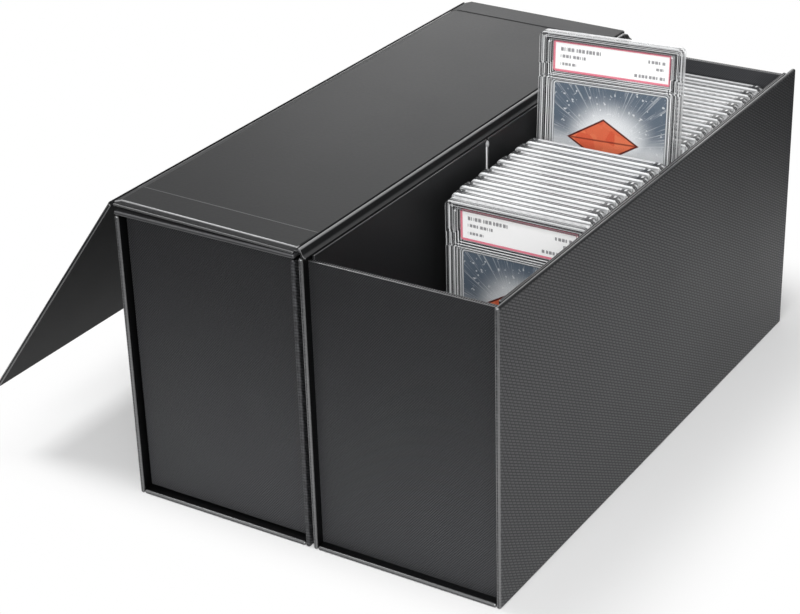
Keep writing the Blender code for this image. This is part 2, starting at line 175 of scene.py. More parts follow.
class StageSettings(bpy.types.PropertyGroup):
    """Floor, lamps and camera."""

    floor: colour("Floor", "Pale floor", (0.95, 0.95, 0.95))
    surround: share("Surround", "Level of the light from all round", 0.22)
    gloss_surround: share("Gloss Surround", "Level of the surround as gloss shows it", 1.0)
    pool: share("Pool", "Level of the floor's far parts as gloss shows them", 0.0)
    shadow_depth: share("Shadow Depth", "How much of the floor beside the case is left to the lamps", 0.85)
    left_lamp: power("Left Lamp", "Power of the lamp above on the left", 8.7)
    rear_lamp: power("Rear Lamp", "Power of the lamp behind", 2.7)
    low_lamp: power("Low Lamp", "Power of the low lamp behind on the left", 2.0)
    side_lamp: power("Side Lamp", "Power of the lamp on the right", 1.9)
    front_lamp: power("Front Lamp", "Power of the soft lamp in front", 34.0)
    lens: bpy.props.FloatProperty(name="Lens", description="Focal length of the camera", default=92.589, unit="CAMERA")


GROUPS = {
    "boards": BoardSettings,
    "cover": CoverSettings,
    "slabs": SlabSettings,
    "studio": StageSettings,
}


def settings(group):
    return getattr(bpy.context.scene, "card_case_" + group)


# Shader sums

class Socket:
    """One output of a shader's node; a sum on it adds the Math nodes it needs."""

    def __init__(self, finish, output):
        self.finish = finish
        self.output = output

    def math(self, operation, *inputs):
        return self.finish.node("ShaderNodeMath", {"operation": operation}, dict(enumerate(inputs)))

    def __add__(self, other):
        return self.math("ADD", self, other)

    def __sub__(self, other):
        return self.math("SUBTRACT", self, other)

    def __rsub__(self, other):
        return self.math("SUBTRACT", other, self)

    def __mul__(self, other):
        return self.math("MULTIPLY", self, other)

    def __truediv__(self, other):
        return self.math("DIVIDE", self, other)

    def __pow__(self, other):
        return self.math("POWER", self, other)

    def __abs__(self):
        return self.math("ABSOLUTE", self)

    def __lt__(self, other):
        return self.math("LESS_THAN", self, other)

    def __gt__(self, other):
        return self.math("GREATER_THAN", self, other)

    __radd__ = __add__
    __rmul__ = __mul__

    def sine(self):
        return self.math("SINE", self)

    def fraction(self):
        return self.math("FRACT", self)

    def whole(self):
        return self.math("FLOOR", self)

    def least(self, other):
        return self.math("MINIMUM", self, other)

    def most(self, other):
        return self.math("MAXIMUM", self, other)

    def rise(self, low, high):
        """0 below low, 1 above high and a smooth rise between."""
        options = {"interpolation_type": "SMOOTHSTEP"}
        return self.finish.node("ShaderNodeMapRange", options, {0: self, 1: low, 2: high})

    def line(self, place, width):
        """1 on a thin line where the value is place, 0 away from it."""
        return 1 - abs(self - place).rise(width * 0.3, width * 0.7)


class Finish:
    """One material, whose nodes are added by name."""

    def __init__(self, name):
        self.material = bpy.data.materials.new(name)
        self.material.use_nodes = True
        self.tree = self.material.node_tree
        self.shader = self.tree.nodes["Principled BSDF"]

    def node(self, kind, options=None, values=None, output=0):
        made = self.tree.nodes.new(kind)
        for name, option in (options or {}).items():
            setattr(made, name, option)
        for name, value in (values or {}).items():
            self.feed(made.inputs[name], value)
        return Socket(self, made.outputs[output])

    def feed(self, socket, value):
        if isinstance(value, Socket):
            self.tree.links.new(value.output, socket)
        else:
            socket.default_value = value

    def surface(self, **values):
        """Feeds the Principled shader; Base_Color means the socket Base Color."""
        for name, value in values.items():
            self.feed(self.shader.inputs[name.replace("_", " ")], value)

    def place(self):
        return self.node("ShaderNodeTexCoord", output="Object")

    def attribute(self, name, output="Vector"):
        return self.node("ShaderNodeAttribute", {"attribute_name": name}, output=output)

    def along(self, vector, direction):
        """How far the place lies along a direction."""
        options = {"operation": "DOT_PRODUCT"}
        return self.node("ShaderNodeVectorMath", options, {0: vector, 1: direction}, "Value")

    def noise(self, vector, scale, detail=2.0, roughness=0.5):
        values = {"Vector": vector, "Scale": scale, "Detail": detail, "Roughness": roughness}
        return self.node("ShaderNodeTexNoise", values=values)

    def mix(self, factor, first, second):
        """A colour between two colours."""
        values = {0: factor, 6: rgba(first), 7: rgba(second)}
        return self.node("ShaderNodeMix", {"data_type": "RGBA"}, values, 2)

    def glossy_edge(self, edge_highlight):
        """Gloss that shows only where the wrap is stretched over an edge."""
        self.surface(Coat_Weight=edge_highlight * 0.9, Coat_Roughness=0.22, Coat_IOR=1.9)

    def bump(self, height, distance, strength=1.0):
        values = {"Strength": strength, "Distance": distance, "Height": height}
        self.surface(Normal=self.node("ShaderNodeBump", values=values))


def rgba(value):
    return value if isinstance(value, Socket) else (*tuple(value)[:3], 1.0)


# Finishes

def dash_rows(finish, across, up, pitch, dash, broken):
    """Rows of raised dashes; broken is how deep the breaks between dashes are."""
    row = up / pitch
    ridge = (row.fraction() * math.pi).sine()
    step = across / dash + row.whole() * 0.38
    bar = (step.fraction() * math.pi).sine()
    return ridge.rise(0.15, 0.95) * (1 - broken + bar.rise(0.1, 0.8) * broken)


WRAP_SHEEN = (0.93, 0.945, 1.0, 1.0)


def leatherette(name, rows, pitch, dash, broken=0.60, tone_share=0.78, gloss=0.24, matt=0.40, emboss=0.00012, foot=0.0):
    """Black wrap with an embossed grain; rows holds the directions along and over its rows, and foot how much paler the
    grain is painted towards the bottom, as painted light bounced up from the floor.
    """
    boards = settings("boards")
    finish = Finish(name)
    place = finish.place()
    along, over = (finish.along(place, direction) for direction in rows)
    grain = dash_rows(finish, along, over, pitch, dash, broken)
    cloud = finish.noise(place, 14.0, 3.0)
    fine = finish.noise(place, 1900.0, 2.0)
    edge_highlight = finish.attribute("edge", "Fac")
    painted_shade = finish.attribute("painted_shade", "Fac")
    inner = finish.attribute("inner_face", "Fac")
    # Painted light: foot makes the grain paler towards the bottom, up to 0.15 m, standing in for light bounced up from
    # the floor.
    floor_bounce_paint = 1 - finish.along(place, (0, 0, 1)).rise(0.0, 0.15)
    paleness = grain * (tone_share + floor_bounce_paint * foot) + cloud * 0.04
    tone = finish.mix(paleness, boards.leatherette, boards.grain_tone)
    smoothed = finish.mix(inner, finish.mix(painted_shade, tone, boards.painted_shade), boards.painted_inner_light)
    # Base colour: painted shade and painted inner light by face, then a painted highlight along rounded edges.
    finish.surface(
        Base_Color=finish.mix(edge_highlight * (0.45 + cloud * 0.6), smoothed, boards.edge_highlight_paint),
        Roughness=matt + cloud * 0.10 - grain * 0.10 - edge_highlight * 0.06,
        Specular_IOR_Level=gloss,
        Specular_Tint=WRAP_SHEEN,
    )
    finish.glossy_edge(edge_highlight)
    finish.bump((grain + fine * 0.2) * (1 - painted_shade.most(inner)), emboss)
    return finish.material


def smooth_wrap(name, tone, roughness, grain_size, strength, gloss, edge_highlight_tone=None):
    """Smooth wrap or lining paper with a faint mottle, painted paler along rounded edges as a highlight."""
    finish = Finish(name)
    place = finish.place()
    mottle = finish.noise(place, 1.0 / grain_size, 3.0, 0.6)
    cloud = finish.noise(place, 11.0, 3.0)
    edge_highlight = finish.attribute("edge", "Fac")
    light = tuple(min(1.0, part * 4.0) for part in tone)
    mottled = finish.mix(mottle * 0.16 + cloud * 0.14, tone, light)
    # Painted highlight: along rounded edges the colour turns paler, to the edge highlight tone or, without one, the
    # pale mottle tone.
    colour_mix = finish.mix(edge_highlight * (0.75 + mottle * 0.2), mottled, edge_highlight_tone or light)
    finish.surface(
        Base_Color=colour_mix,
        Roughness=roughness + cloud * 0.10 - mottle * 0.05 - edge_highlight * 0.08,
        Specular_IOR_Level=gloss,
        Specular_Tint=WRAP_SHEEN,
    )
    finish.glossy_edge(edge_highlight)
    finish.bump(mottle, 0.00008, strength)
    return finish.material


def frame_distance(finish, across, up, centre, size):
    """How far a place lies outside a rectangle on the slab's face; below 0 inside it."""
    sideways = abs(across) - size[0] / 2
    upward = abs(up - centre) - size[1] / 2
    return sideways.most(upward)


def slab_faces(finish, sizes):
    """Painted highlight lines and painted shade lines along the moulded steps on a slab's broad faces."""
    place = finish.attribute("slab_place")
    across = finish.along(place, (1, 0, 0))
    up = finish.along(place, (0, 0, 1))
    width, height = sizes["slab"]
    outer = frame_distance(finish, across, up, height / 2, (width, height))
    label = frame_distance(finish, across, up, sizes["label_centre"], sizes["label"])
    card = frame_distance(finish, across, up, sizes["card_centre"], sizes["card"])
    outside = label.least(card).rise(0.3 * MM, 0.6 * MM)
    notch = sizes["label_centre"] - sizes["label"][1] / 2 - 3.0 * MM
    outer = outer + up.rise(notch - 0.3 * MM, notch + 0.3 * MM) * 0.6 * MM * (1 - up.rise(notch + 7.0 * MM, notch + 7.6 * MM))
    bright = outer.line(-0.2 * MM, 0.5 * MM) * 0.8
    for step, light in ((-2.4, 0.9), (-4.8, 1.0), (-6.5, 0.8)):
        bright = bright.most(outer.line(step * MM, 0.45 * MM) * light)
    for frame_line, step in ((label, 1.1), (card, 1.3), (card, 0.4)):
        bright = bright.most(frame_line.line(step * MM, 0.4 * MM) * 0.95)
    dark = outer.line(-1.2 * MM, 0.4 * MM).most(outer.line(-3.6 * MM, 0.8 * MM) * 0.8)
    dark = dark.most(outer.line(-5.6 * MM, 0.4 * MM)).most(card.line(0.85 * MM, 0.35 * MM) * 0.8)
    dark = dark.most(label.line(0.5 * MM, 0.4 * MM) * 0.8).most(label.line(1.8 * MM, 0.4 * MM) * 0.8)
    return bright * outside, dark * outside, place, 1 - outside


def edge_bands(finish, place, ribbed):
    """Light and shade across a slab's narrow sides; ribbed is the depth of the fine slanting ribs."""
    depth = finish.along(place, (0, 1, 0))
    along = finish.along(place, (1, 0, 1))
    slant = along / (4.6 * MM) + depth / (5.2 * MM)
    ribs = (slant.fraction() * math.pi).sine()
    back = depth.rise(-0.4 * MM, 0.5 * MM) * (1 - depth.rise(2.4 * MM, 2.9 * MM) * 0.5)
    front = depth.line(-2.7 * MM, 0.8 * MM)
    middle = depth.line(-1.2 * MM, 0.7 * MM) * 0.42
    shade = depth.line(1.5 * MM, 0.5 * MM) * ribs.rise(0.3, 0.9)
    light = (back * (0.85 + ribs * 0.15)).most(front * 0.70).most(middle)
    return light * (1 - shade * ribbed), ribs


def corner_specks(finish, place, sizes):
    """Painted shade: dark specks and arcs where the moulded rim turns a slab's upper corners."""
    width, height = sizes["slab"]
    inward = width / 2 - abs(finish.along(place, (1, 0, 0)))
    downward = height - finish.along(place, (0, 0, 1))
    upper = 1 - downward.rise(6.0 * MM, 9.0 * MM)
    zone = inward.rise(0.5 * MM, 1.0 * MM) * (1 - inward.rise(4.5 * MM, 8.5 * MM)) * upper
    speck = finish.noise(place, 560.0, 2.0).rise(0.46, 0.51)
    arcs = inward.line(2.6 * MM, 0.5 * MM).most(inward.line(4.2 * MM, 0.4 * MM) * 0.8)
    return (zone * speck).most(arcs * upper * 0.8)


def clear_plastic(name, sizes):
    """Clear moulded plastic: see-through faces with painted highlight and shade lines along the moulded steps, and a
    painted glow.
    """
    slabs = settings("slabs")
    finish = Finish(name)
    bright, dark, place, window = slab_faces(finish, sizes)
    light, ribs = edge_bands(finish, place, 0.0)
    side = finish.attribute("narrow_side", "Fac")
    haze = finish.noise(place, 90.0, 2.0)
    lit = bright * (1 - side) + side * light
    shade = dark * (1 - side)
    tone = finish.mix(lit * (1 - shade), slabs.plastic_shade, slabs.plastic)
    hold = ((1 - slabs.clearness) + haze * 0.04) * (1 - window * 0.9)
    alpha = hold.most(bright * 0.85).most(shade * 0.9).most(side * (0.08 + light * 0.36))
    # Painted glow from the bright lines.
    glow_tone = finish.mix(lit * (1 - shade), (0, 0, 0), slabs.plastic)
    finish.surface(Base_Color=tone, Roughness=0.10 + haze * 0.05, Alpha=alpha, IOR=1.46)
    finish.surface(Emission_Color=glow_tone, Emission_Strength=slabs.painted_glow_strength)
    finish.material.surface_render_method = "DITHERED"
    return finish.material


def stacked_plastic(name, sizes):
    """Slabs seen on edge: pale clear plastic thick enough to look white."""
    slabs = settings("slabs")
    finish = Finish(name)
    bright, dark, place, window = slab_faces(finish, sizes)
    light, ribs = edge_bands(finish, place, 0.4)
    side = finish.attribute("narrow_side", "Fac")
    speck = finish.noise(place, 900.0, 2.0)
    corner = corner_specks(finish, place, sizes)
    lit = (bright * 0.3 + 0.65 + speck * 0.2) * (1 - side) + side * (0.02 + light * 0.94)
    shade = (dark * 0.7 * (1 - side)).most(side * corner)
    tone = finish.mix(lit * (1 - shade * 0.92), slabs.plastic_shade, slabs.plastic)
    # Painted glow from the lit narrow sides.
    glow_tone = finish.mix(side * light * (1 - shade), (0, 0, 0), slabs.plastic)
    finish.surface(Base_Color=tone, Roughness=0.16 + speck * 0.08, IOR=1.46)
    finish.surface(Emission_Color=glow_tone, Emission_Strength=slabs.painted_glow_strength * 0.4)
    finish.bump(ribs * side, 0.00012, 0.6)
    return finish.material


def label_paper(sizes):
    """White label with a coloured border and plain ruled bars."""
    slabs = settings("slabs")
    finish = Finish("label_paper")
    place = finish.attribute("slab_place")
    across = finish.along(place, (1, 0, 0))
    up = finish.along(place, (0, 0, 1)) - sizes["label_centre"]
    edge = frame_distance(finish, across, up, 0, sizes["label"])
    fibre = finish.noise(place, 700.0, 3.0)
    border = (edge + 1.15 * MM).rise(-0.2 * MM, 0.2 * MM)
    bars = Socket(finish, fibre.output) * 0.0
    rows = ((-27.5, -6.0, 3.7, 1.9), (-27.5, -14.0, 0.1, 1.6), (-27.5, -19.0, -3.9, 1.4), (19.0, 28.0, 3.2, 1.6),
            (23.0, 28.0, -0.2, 1.4), (12.0, 28.0, -4.6, 1.6))
    for start, end, level, tall in rows:
        reach = (across - start * MM).rise(0, 0.3 * MM) * (1 - (across - end * MM).rise(0, 0.3 * MM))
        words = (across / (5.3 * MM) + level).fraction().rise(0.10, 0.16)
        words = words * (across / (1.9 * MM) + level * 0.7).fraction().rise(0.10, 0.30)
        bars = bars + reach * words * up.line(level * MM, tall * MM)
    paper = finish.mix(fibre * 0.12, slabs.label_paper, (0.78, 0.77, 0.76))
    printed = finish.mix(bars * 0.8, paper, (0.12, 0.12, 0.13))
    bordered = finish.mix(border * (0.86 + fibre * 0.14), printed, slabs.label_border)
    finish.surface(Base_Color=bordered, Roughness=0.45 + fibre * 0.1, Specular_IOR_Level=0.3)
    # Painted light: the label glows a little to lift its white.
    finish.surface(Emission_Color=bordered, Emission_Strength=0.12)
    finish.bump(fibre, 0.00003, 0.3)
    return finish.material


def card_paper(sizes):
    """A plain generic card: slate sky, pale rays, a glow below and one faceted red shape."""
    slabs = settings("slabs")
    finish = Finish("card_paper")
    place = finish.attribute("slab_place")
    across = finish.along(place, (1, 0, 0))
    up = finish.along(place, (0, 0, 1)) - sizes["card_centre"]
    low = up - 12.0 * MM
    reach = (across * across + low * low) ** 0.5
    angle = finish.node("ShaderNodeMath", {"operation": "ARCTAN2"}, {0: across, 1: low})
    ray_place = finish.node("ShaderNodeCombineXYZ", values={0: angle * 34.0, 1: reach * 40.0})
    rays = finish.noise(ray_place, 1.0, 3.0).rise(0.53, 0.68)
    specks = finish.noise(place, 520.0, 1.0).rise(0.66, 0.74)
    cloud = finish.noise(place, 60.0, 3.0)
    glow = (1 - (reach / (30.0 * MM)).rise(0.25, 1.05)).most(1 - up.rise(2.0 * MM, 27.0 * MM))
    sky = finish.mix((glow + cloud * 0.25 - 0.08).rise(0.0, 1.0), slabs.card_sky, slabs.card_glow)
    lit_sky = finish.mix((rays * 0.42).most(specks * 0.7), sky, slabs.card_glow)
    shape = abs(across + 3.0 * MM) * 0.60 + abs(up - 15.0 * MM)
    inside = 1 - shape.rise(11.4 * MM, 11.9 * MM)
    cells = {"Vector": place, "Scale": 170.0}
    facet = finish.node("ShaderNodeTexVoronoi", {"feature": "F1"}, cells, "Color")
    red = finish.mix(finish.along(facet, (0.35, 0.35, 0.3)), slabs.card_shape, (0.90, 0.27, 0.13))
    shade = shape.line(11.2 * MM, 1.2 * MM).most(abs(up - 15.0 * MM).line(0, 0.8 * MM) * 0.7)
    art = finish.mix(inside, lit_sky, finish.mix(shade, red, (0.10, 0.015, 0.012)))
    sideways = (abs(across) - (sizes["card"][0] / 2 - 3.0 * MM)).most(0.0)
    upward = (abs(up) - (sizes["card"][1] / 2 - 3.0 * MM)).most(0.0)
    corner = (sideways * sideways + upward * upward) ** 0.5
    margin = corner.rise(0.9 * MM, 1.2 * MM)
    rules = corner.line(1.6 * MM, 0.5 * MM).most(corner.line(2.8 * MM, 0.5 * MM) * 0.8)
    ruled = finish.mix(rules, slabs.card_margin, slabs.card_glow)
    framed = finish.mix(margin, art, ruled)
    finish.surface(Base_Color=framed, Roughness=0.30 + glow * 0.05, Specular_IOR_Level=0.4)
    return finish.material


FINISHES = {}


def finish_of(kind):
    """Makes each finish once, when a piece first asks for it."""
    if kind not in FINISHES:
        FINISHES[kind] = make_finish(kind)
    return FINISHES[kind]


def make_finish(kind):
    boards = settings("boards")
    cover = settings("cover")
    sizes = slab_sizes()
    wall_rows = (0, 0.875, -0.483), (0, 0.483, 0.875)
    panel_rows = (0.647, 0, 0.763), (0.763, 0, -0.647)
    flat_rows = (0.884, -0.467, 0), (0.467, 0.884, 0)
    wall_grain = boards.wall_pitch, boards.wall_dash
    panel_grain = boards.panel_pitch, boards.panel_dash
    makers = {
        "long_wall": lambda: leatherette("long_wall_wrap", wall_rows, *wall_grain),
        # The end panels are painted paler towards the bottom (foot 0.66): painted floor-bounce light.
        "end_panel": lambda: leatherette("end_panel_wrap", panel_rows, *panel_grain, 0.15, 0.26, 0.28, 0.27, 0.00021, 0.66),
        "flat_board": lambda: leatherette("flat_board_wrap", flat_rows, *wall_grain),
        "cover_wrap": lambda: smooth_wrap("cover_wrap", cover.wrap, 0.50, 0.0012, 0.3, 0.04),
        "cover_lining": lambda: smooth_wrap("cover_lining", cover.lining, 0.36, 0.0016, 0.35, 0.112, cover.edge_highlight_tone),
        "tray_lining": lambda: smooth_wrap("tray_lining", boards.lining, 0.46, 0.0010, 0.3, 0.18),
        "rail": lambda: smooth_wrap("rail_wrap", (0.020, 0.020, 0.021), 0.42, 0.0012, 0.3, 0.18),
        # The bead's pale tone is a painted highlight on the liner joint.
        "bead": lambda: smooth_wrap("joint_glint_bead", (0.30, 0.30, 0.31), 0.35, 0.0008, 0.2, 0.5),
        "web": lambda: smooth_wrap("web_wrap", cover.wrap, 0.45, 0.0012, 0.3, 0.06, cover.edge_highlight_tone),
        "clear": lambda: clear_plastic("clear_plastic", sizes),
        "stacked": lambda: stacked_plastic("stacked_plastic", sizes),
        "label": lambda: label_paper(sizes),
        "card": lambda: card_paper(sizes),
    }
    return makers[kind]()


# Making and placing pieces

def box_centre(node):
    low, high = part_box(node)
    return (low + high) / 2


def block(low, high):
    low, high = Vector(low), Vector(high)
    made = bmesh.new()
    bmesh.ops.create_cube(made, size=1.0)
    bmesh.ops.scale(made, vec=high - low, verts=made.verts)
    bmesh.ops.translate(made, vec=(low + high) / 2, verts=made.verts)
    return made


def bevel(made, edges, radius, segments):
    """Rounds edges and shades the new strips smooth."""
    result = bmesh.ops.bevel(
        made,
        geom=edges,
        offset=radius,
        offset_type="OFFSET",
        affect="EDGES",
        segments=segments,
        profile=0.5,
        material=-1,
        clamp_overlap=True,
    )
    for face in result["faces"]:
        face.smooth = True
    return result["faces"]


def round_all(made, radius, segments=4, edge_highlight=1.0):
    """Rounds every edge of a board and marks the middle of the rounding for the painted edge highlight and its gloss.
    """
    mark_edge_highlight(made, bevel(made, made.edges[:], radius, segments), edge_highlight)
    return made


def stand(name, made, finish, body, nodes=(), turn=None):
    """Turns a finished bmesh into a named piece that rides a body and stands for nodes."""
    if turn is not None:
        bmesh.ops.transform(made, matrix=turn, verts=made.verts)
    mesh = bpy.data.meshes.new(name)
    made.to_mesh(mesh)
    made.free()
    mesh.materials.append(finish_of(finish))
    piece = bpy.data.objects.new(name, mesh)
    bpy.context.scene.collection.objects.link(piece)
    if body:
        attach(piece, body)
    if nodes:
        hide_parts(*nodes)
    return piece


def wrapped_board(node, finish, radius, grow=(0, 0, 0), extra=(), inside=None, edge_highlight=1.0):
    """A rounded board in the place of a node's box, grown a little to close its joints.

    The face that looks inside and the rim are smooth and darkened as painted shade; only the rim's crest gets the
    painted edge highlight.
    """
    low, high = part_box(node)
    reach = Vector(grow)
    made = block(low - reach, high + reach)
    thinnest = min(high - low)
    round_all(made, min(radius, thinnest * 0.48), edge_highlight=edge_highlight)
    if inside is not None:
        made.normal_update()
        # Painted shade on faces that look inside or up and down; the painted highlight is kept only on the rim's crest.
        painted_shade = made.faces.layers.float.new("painted_shade")
        edge = made.verts.layers.float["edge"]
        for face in made.faces:
            smooth = max(face.normal.dot(Vector(inside)), abs(face.normal.z) + 0.6)
            face[painted_shade] = 1.0 if smooth > 0.9 else 0.0
        for vert in made.verts:
            if vert.co.z > high.z - radius and abs(vert.co.y) < high.y - radius:
                vert[edge] = 0.0
            if vert.co.z > high.z - 0.00001 and not inside[2]:
                vert[edge] = edge_highlight
    return stand("finished_" + node, made, finish, "case", (node, *extra))


def end_panel(node, groove, corner):
    """An end panel set between the walls with a groove round it, its upper corners rounded."""
    boards = settings("boards")
    low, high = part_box(node)
    made = block(low + Vector((groove, 0, groove)), high - Vector((groove, 0, groove)))
    crosswise = [e for e in made.edges if abs(e.verts[0].co.y - e.verts[1].co.y) > 0.001]
    bevel(made, [e for e in crosswise if e.verts[0].co.z > box_centre(node).z], corner, 4)
    for face in made.faces:
        face.smooth = False
    made.normal_update()
    rim = [e for e in made.edges if len({round(v.co.y, 5) for v in e.verts}) == 1]
    # The rim's rounding carries the painted edge highlight.
    mark_edge_highlight(made, bevel(made, rim, boards.panel_round, 3))
    made.normal_update()
    # The inner face gets the paler painted light.
    inner = made.faces.layers.float.new("inner_face")
    inward = -math.copysign(1.0, low.y)
    for face in made.faces:
        face[inner] = 1.0 if face.normal.y * inward > 0.9 else 0.0
    return stand("finished_" + node, made, "end_panel", "case", (node,))


def mark_edge_highlight(made, rounded, edge_highlight=1.0):
    """Marks the points that lie within a rounding, and none at its borders."""
    edge = made.verts.layers.float.new("edge")
    strips = set(rounded)
    for vert in made.verts:
        vert[edge] = edge_highlight if all(face in strips for face in vert.link_faces) else 0.0


def joint_glint_bead():
    """Pale rounded bead in the joint between the two hinge-side liner panels: a painted highlight for the glint on the
    joint.
    """
    low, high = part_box("right_hinge_liner_near")
    far_low, far_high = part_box("right_hinge_liner_far")
    made = block((high.x - 0.0006, high.y - 0.0015, low.z), (high.x + 0.0005, high.y - 0.0002, high.z - 0.0025))
    round_all(made, 0.0005, 3)
    drop = bmesh.ops.create_uvsphere(made, u_segments=16, v_segments=8, radius=0.0011)
    bmesh.ops.scale(made, vec=(0.8, 1.0, 1.7), verts=drop["verts"])
    centre = (high.x + 0.0003, high.y - 0.0006, high.z - 0.0026)
    bmesh.ops.translate(made, vec=centre, verts=drop["verts"])
    for face in made.faces:
        face.smooth = True
    stand("liner_joint_glint_bead", made, "bead", "case")


# Slabs

def slab_sizes():
    """Sizes on a slab's face: width and height pairs, and centres above its foot."""
    slab_low, slab_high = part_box("front_slab_back_shell")
    label_low, label_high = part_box("front_slab_label")
    card_low, card_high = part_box("front_slab_card")
    foot = slab_low.z
    return {
        "slab": (slab_high.x - slab_low.x, slab_high.z - slab_low.z),
        "label": (label_high.x - label_low.x, label_high.z - label_low.z),
        "card": (card_high.x - card_low.x, card_high.z - card_low.z),
        "label_centre": (label_low.z + label_high.z) / 2 - foot,
        "card_centre": (card_low.z + card_high.z) / 2 - foot,
        "foot": foot,
        "middle": (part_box("front_slab_front_shell")[0].y + slab_high.y) / 2,
    }


def raised_turn():
    """Where the drawn-up slab stands: its place and its lean, from the slide's direction."""
    lean = math.acos(LIFT_AXIS.z)
    yaw = math.atan2(-LIFT_AXIS.x, LIFT_AXIS.y)
    turn = Matrix.Rotation(yaw, 4, "Z") @ Matrix.Rotation(-lean, 4, "X")
    sizes = slab_sizes()
    label_depth = box_centre("front_slab_label").y - sizes["middle"]
    local = Vector((0, label_depth, sizes["label_centre"]))
    place = box_centre("raised_slab_label") - turn.to_3x3() @ local
    return Matrix.Translation(place) @ turn


def slab_plate(width, height, front, back, corner, segments=5, rims=()):
    """A round-cornered plate in X and Z, standing on Z = 0; rims lists the faces with a rounded rim."""
    made = block((-width / 2, front, 0), (width / 2, back, height))
    upright = [e for e in made.edges if abs(e.verts[0].co.y - e.verts[1].co.y) > (back - front) / 2]
    bevel(made, upright, corner, segments)
    for place, radius in rims:
        rim = [e for e in made.edges if all(abs(v.co.y - place) < 0.00001 for v in e.verts)]
        bevel(made, rim, radius, 3)
    return made


def broad_face(made, hand):
    """The plate's broad face on the front, hand -1, or the back, hand 1."""
    made.normal_update()
    faces = [face for face in made.faces if face.normal.y * hand > 0.9]
    return max(faces, key=lambda face: face.calc_area())


def step_in(made, hand, steps):
    """Insets the broad face again and again, each time by a width and a depth."""
    for width, depth in steps:
        face = broad_face(made, hand)
        bmesh.ops.inset_region(made, faces=[face], thickness=width, use_even_offset=True)
        bmesh.ops.translate(made, vec=(0, -hand * depth, 0), verts=face.verts)


def mark_slab(made):
    """Keeps each point's place on the slab, and marks the narrow sides."""
    made.normal_update()
    place = made.verts.layers.float_vector.new("slab_place")
    narrow = made.faces.layers.float.new("narrow_side")
    for vert in made.verts:
        vert[place] = vert.co
    for face in made.faces:
        face[narrow] = 1.0 if abs(face.normal.y) < 0.6 else 0.0


def shell(name, node, front, back, hand, turn, body):
    """One half of a detailed slab."""
    slabs = settings("slabs")
    sizes = slab_sizes()
    width, height = sizes["slab"]
    outer_face = front if hand < 0 else back
    made = slab_plate(width, height, front, back, slabs.corner, 5, ((outer_face, slabs.rim * 0.6),))
    step_in(made, hand, ((0.0004, 0.0), (0.0008, 0.0002), (0.0006, 0.0004)))
    mark_slab(made)
    stand(name, made, "clear", body, (node,), turn)


def printed_sheet(name, node, kind, body, turn):
    """The label or the card inside a slab, with its corners rounded."""
    sizes = slab_sizes()
    width, height = sizes[kind]
    base = sizes[kind + "_centre"] - height / 2
    low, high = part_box("front_slab_" + kind)
    made = slab_plate(width, height, low.y - sizes["middle"], high.y - sizes["middle"], 0.0012, 3)
    bmesh.ops.translate(made, vec=(0, 0, base), verts=made.verts)
    mark_slab(made)
    stand(name, made, kind, body, (node,), turn)


def detailed_slab(name, body, turn):
    sizes = slab_sizes()
    half = (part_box("front_slab_back_shell")[1].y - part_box("front_slab_front_shell")[0].y) / 2
    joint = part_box("front_slab_back_shell")[0].y - sizes["middle"]
    shell("finished_" + name + "_front_shell", name + "_front_shell", -half, -joint, -1, turn, body)
    shell("finished_" + name + "_back_shell", name + "_back_shell", joint, half, 1, turn, body)
    printed_sheet("finished_" + name + "_label", name + "_label", "label", body, turn)
    printed_sheet("finished_" + name + "_card", name + "_card", "card", body, turn)


def stacked_slab(node):
    """A slab of which only the edges show."""
    slabs = settings("slabs")
    low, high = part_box(node)
    size = high - low
    rims = (-size.y / 2, slabs.rim), (size.y / 2, slabs.rim)
    made = slab_plate(size.x, size.z, -size.y / 2, size.y / 2, slabs.corner, 4, rims)
    for hand in (-1, 1):
        step_in(made, hand, ((0.0004, 0.0), (0.0008, 0.0004)))
    mark_slab(made)
    place = Matrix.Translation(((low.x + high.x) / 2, (low.y + high.y) / 2, low.z))
    stand("finished_" + node, made, "stacked", "case", (node,), place)


# Strips that bend

WEB_PROFILE = (
    (-0.05190, 0.15370), (-0.05030, 0.15370), (-0.04975, 0.15390), (-0.04952, 0.15460),
    (-0.04918, 0.15506), (-0.04878, 0.15514), (-0.04838, 0.15490), (-0.04802, 0.15420),
    (-0.04768, 0.15320), (-0.04730, 0.15220), (-0.04695, 0.15150), (-0.04650, 0.15118),
    (-0.04600, 0.15105), (-0.04575, 0.15080), (-0.04580, 0.15045), (-0.04640, 0.15031),
    (-0.04730, 0.15031), (-0.04785, 0.15090), (-0.04845, 0.15220), (-0.04900, 0.15340),
    (-0.04965, 0.15310), (-0.05190, 0.15310),
)
WEB_CREST = (-0.04882, 0.1551)


def strip(profile, start, end):
    """A strip along Y from a closed profile of (x, z) points."""
    made = bmesh.new()
    ring = [made.verts.new((x, start, z)) for x, z in profile]
    side = bmesh.ops.extrude_face_region(made, geom=[made.faces.new(ring)])
    moved = [item for item in side["geom"] if isinstance(item, bmesh.types.BMVert)]
    bmesh.ops.translate(made, vec=(0, end - start, 0), verts=moved)
    bmesh.ops.recalc_face_normals(made, faces=made.faces)
    for face in made.faces:
        face.smooth = abs(face.normal.y) < 0.5
    return made


def lid_turn():
    """From the level lid to the lid as it rests, turned about the hinge."""
    place = Matrix.Translation(HINGE)
    return place @ Matrix.Rotation(LID_TILT, 4, "Y") @ place.inverted()


def level_lid():
    """Low and high corner of the level lid, from its tilted nodes' boxes."""
    low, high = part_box("lid_board")
    length_x = (high.x - low.x) - 0.0
    thick = 0.0039
    bottom = 2 * HINGE.z - 0.150 - 0.0003 - thick
    left = -0.152
    right = -0.0523
    return Vector((left, low.y, bottom)), Vector((right, high.y, bottom + thick))


# Operators

class CaseOperator:
    bl_options = {"REGISTER", "UNDO"}


